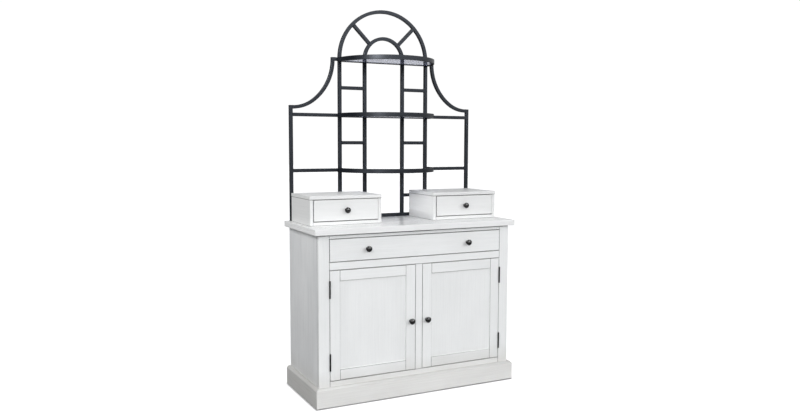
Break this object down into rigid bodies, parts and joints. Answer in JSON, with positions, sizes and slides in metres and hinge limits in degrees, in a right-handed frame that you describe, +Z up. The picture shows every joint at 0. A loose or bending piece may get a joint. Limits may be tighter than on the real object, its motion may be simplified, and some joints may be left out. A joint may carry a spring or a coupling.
{
  "type": "bakers rack",
  "caption": "Counter-height cabinet with hinged doors and sliding drawers, under a steel rack with an arched top and half-round glass shelves.",
  "frame": {"origin": "on the floor, at the centre of the whole outline", "axes": "+X to the right seen from the front, +Y to the back, +Z up; the doors and drawers face -Y"},
  "size_m": [1.1838, 0.4946, 2.0884],
  "materials": {
    "cabinet_paint": "satin white paint, brushed along the grain",
    "inner_wood": "flat white paint",
    "rack_steel": "satin blue-black powder coat",
    "shelf_glass": "clear, polished edge",
    "knob_metal": "dark cast metal, satin",
    "hinge_metal": "satin black",
    "slide_steel": "zinc plated",
    "bolt_steel": "zinc plated",
    "catch_plastic": "moulded",
    "glide_plastic": "moulded"
  },
  "bodies": {
    "cabinet": {"back_panel": "inner_wood", "bottom_panel": "inner_wood", "box_left_carcass": "cabinet_paint", "box_left_top": "cabinet_paint", "box_right_carcass": "cabinet_paint", "box_right_top": "cabinet_paint", "centre_partition": "inner_wood", "counter_bolts": "bolt_steel", "counter_top": "cabinet_paint", "drawer_shelf": "inner_wood", "face_centre_stile": "cabinet_paint", "face_rails": "cabinet_paint", "face_stile_left": "cabinet_paint", "face_stile_right": "cabinet_paint", "floor_glides": "glide_plastic", "hinge_frame_leaves": "hinge_metal", "hinge_pins": "hinge_metal", "inner_shelves": "inner_wood", "magnetic_catches": "catch_plastic", "plinth_front": "cabinet_paint", "plinth_sides": "cabinet_paint", "rack_bottom_bar": "rack_steel", "rack_inner_hoop": "rack_steel", "rack_main_hoop": "rack_steel", "rack_outer_posts": "rack_steel", "rack_rungs": "rack_steel", "rack_spokes": "rack_steel", "rack_wing_arms": "rack_steel", "rack_wing_bars": "rack_steel", "shelf_bolts": "rack_steel", "shelf_glass_low": "shelf_glass", "shelf_glass_middle": "shelf_glass", "shelf_glass_top": "shelf_glass", "shelf_pins": "bolt_steel", "shelf_rim_low": "rack_steel", "shelf_rim_middle": "rack_steel", "shelf_rim_top": "rack_steel", "side_panel_left": "cabinet_paint", "side_panel_right": "cabinet_paint", "slide_cabinet_members": "slide_steel", "slide_packing_rails": "inner_wood"},
    "door_left": {"door_left_frame": "cabinet_paint", "door_left_panel": "cabinet_paint", "door_left_knob": "knob_metal", "door_left_fittings": "hinge_metal"},
    "door_right": {"door_right_frame": "cabinet_paint", "door_right_panel": "cabinet_paint", "door_right_knob": "knob_metal", "door_right_fittings": "hinge_metal"},
    "wide_drawer": {"wide_drawer_front": "cabinet_paint", "wide_drawer_box": "inner_wood", "wide_drawer_bottom": "inner_wood", "wide_drawer_knobs": "knob_metal", "slide_drawer_members": "slide_steel"},
    "small_drawer_left": {"small_drawer_left_front": "cabinet_paint", "small_drawer_left_box": "inner_wood", "small_drawer_left_knob": "knob_metal"},
    "small_drawer_right": {"small_drawer_right_front": "cabinet_paint", "small_drawer_right_box": "inner_wood", "small_drawer_right_knob": "knob_metal"}
  },
  "joints": [
    {"name": "door_left_hinge", "type": "hinge", "parent": "cabinet", "child": "door_left", "pos_m": [-0.5075, -0.223, 0.417], "axis": [0, 0, -1], "range_deg": [0, 170]},
    {"name": "door_right_hinge", "type": "hinge", "parent": "cabinet", "child": "door_right", "pos_m": [0.5075, -0.223, 0.417], "axis": [0, 0, 1], "range_deg": [0, 170]},
    {"name": "wide_drawer_slide", "type": "slide", "parent": "cabinet", "child": "wide_drawer", "axis": [0, -1, 0], "range_m": [0, 0.3]},
    {"name": "small_drawer_left_slide", "type": "slide", "parent": "cabinet", "child": "small_drawer_left", "axis": [0, -1, 0], "range_m": [0, 0.2]},
    {"name": "small_drawer_right_slide", "type": "slide", "parent": "cabinet", "child": "small_drawer_right", "axis": [0, -1, 0], "range_m": [0, 0.2]}
  ]
}
